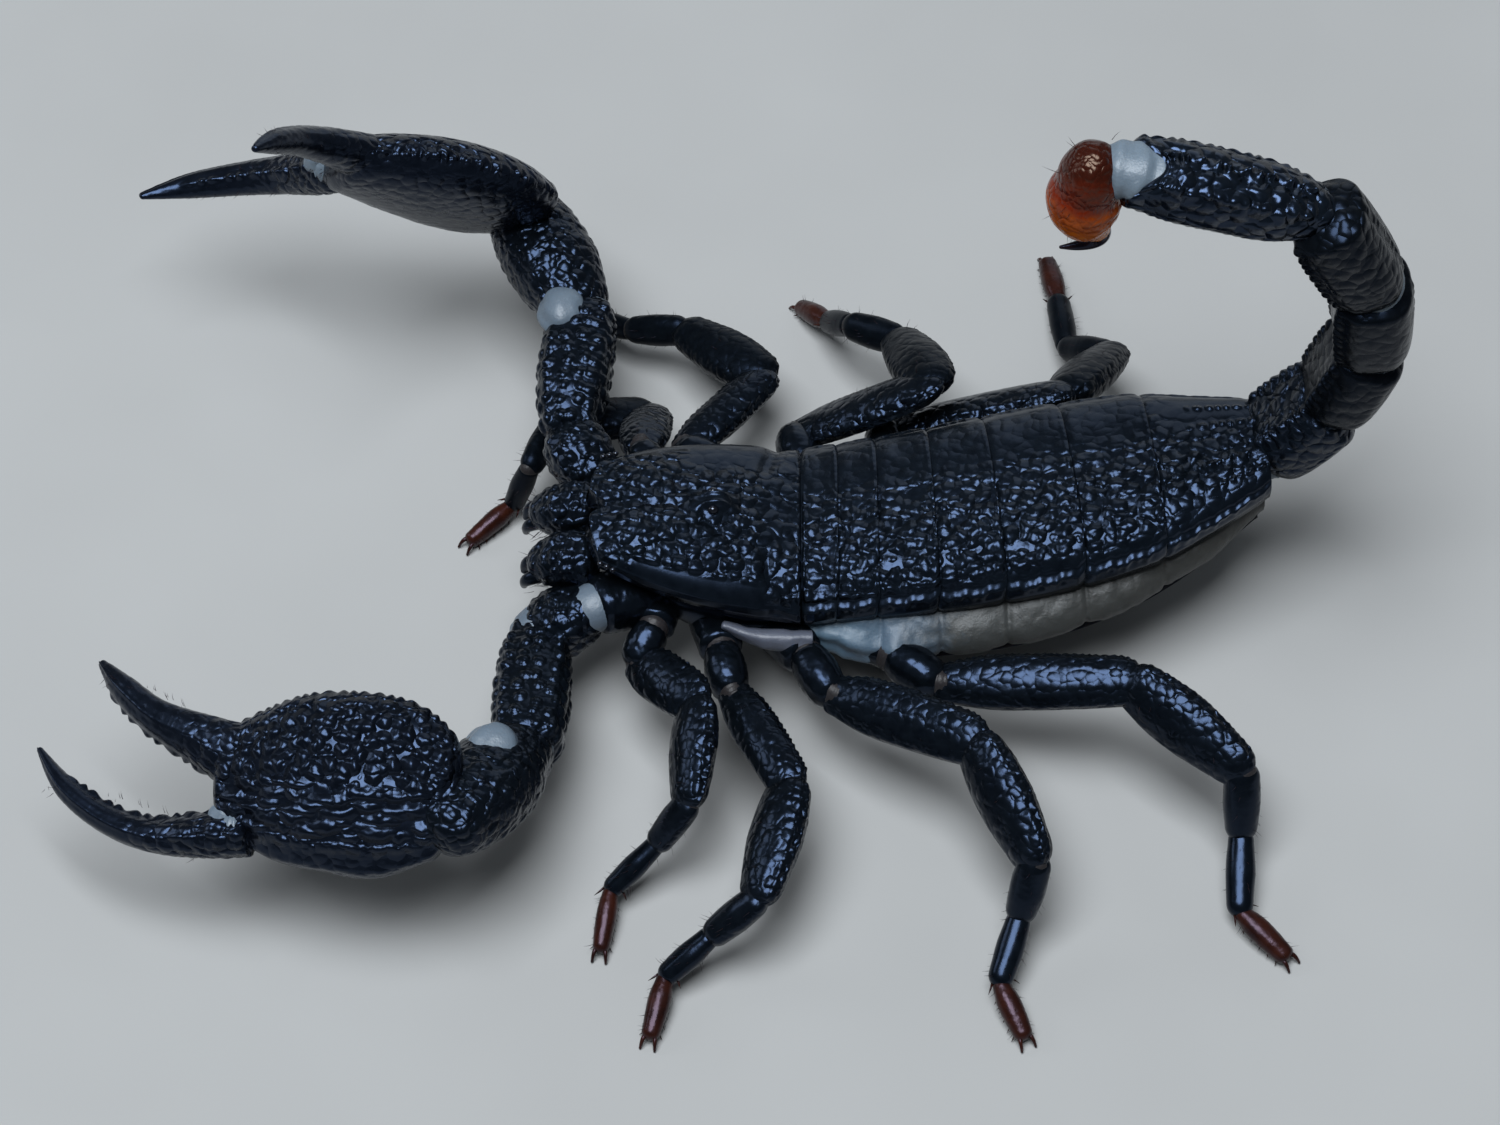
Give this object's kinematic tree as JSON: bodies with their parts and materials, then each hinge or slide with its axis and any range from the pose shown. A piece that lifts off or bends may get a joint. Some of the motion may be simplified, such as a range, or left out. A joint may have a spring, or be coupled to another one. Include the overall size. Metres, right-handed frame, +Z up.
{
  "type": "scorpion model",
  "caption": "Life-size black scorpion standing on its feet with raised open claws and the tail arched forward over its back, sting at the tip.",
  "frame": {"origin": "middle of the bounding box's footprint, on the floor the feet stand on", "axes": "-X toward the head, +X toward the root of the tail, +Y the animal's right side, +Z up"},
  "size_m": [0.1306, 0.0986, 0.0627],
  "materials": {
    "plate": "near-black horny shell plate with a soft blue-green sheen, finely granular",
    "limb": "near-black polished shell with raised ridges and granules",
    "foot": "dark red-brown polished shell with fine bristles",
    "skin": "grey taupe leathery skin between the plates",
    "bulb": "red-brown to amber polished shell",
    "sting": "near-black glossy horn",
    "eye": "black, mirror smooth",
    "pectine": "pale brown horny comb"
  },
  "bodies": {
    "root": {"carapace": "plate", "prosoma_base": "limb", "chelicera_left": "limb", "eye_left": "eye", "side_eyes_left": "eye", "pectine_left": "pectine", "pedipalp_left_trochanter": "limb", "pedipalp_left_femur": "limb", "pedipalp_left_patella": "limb", "pedipalp_left_hand": "limb", "pedipalp_left_finger": "limb", "leg_1_left_femur": "limb", "leg_1_left_patella": "limb", "leg_1_left_foot": "foot", "leg_2_left_femur": "limb", "leg_2_left_patella": "limb", "leg_2_left_foot": "foot", "leg_3_left_femur": "limb", "leg_3_left_patella": "limb", "leg_3_left_foot": "foot", "leg_4_left_femur": "limb", "leg_4_left_patella": "limb", "leg_4_left_foot": "foot", "chelicera_right": "limb", "eye_right": "eye", "side_eyes_right": "eye", "pectine_right": "pectine", "pedipalp_right_trochanter": "limb", "pedipalp_right_femur": "limb", "pedipalp_right_patella": "limb", "pedipalp_right_hand": "limb", "pedipalp_right_finger": "limb", "leg_1_right_femur": "limb", "leg_1_right_patella": "limb", "leg_1_right_foot": "foot", "leg_2_right_femur": "limb", "leg_2_right_patella": "limb", "leg_2_right_foot": "foot", "leg_3_right_femur": "limb", "leg_3_right_patella": "limb", "leg_3_right_foot": "foot", "leg_4_right_femur": "limb", "leg_4_right_patella": "limb", "leg_4_right_foot": "foot", "tergite_1": "plate", "tergite_2": "plate", "tergite_3": "plate", "tergite_4": "plate", "tergite_5": "plate", "tergite_6": "plate", "tergite_7": "plate", "abdomen": "skin", "metasoma_1": "plate", "metasoma_2": "plate", "metasoma_3": "plate", "metasoma_4": "plate", "metasoma_5": "plate", "telson": "bulb", "sting": "sting"}
  },
  "joints": []
}
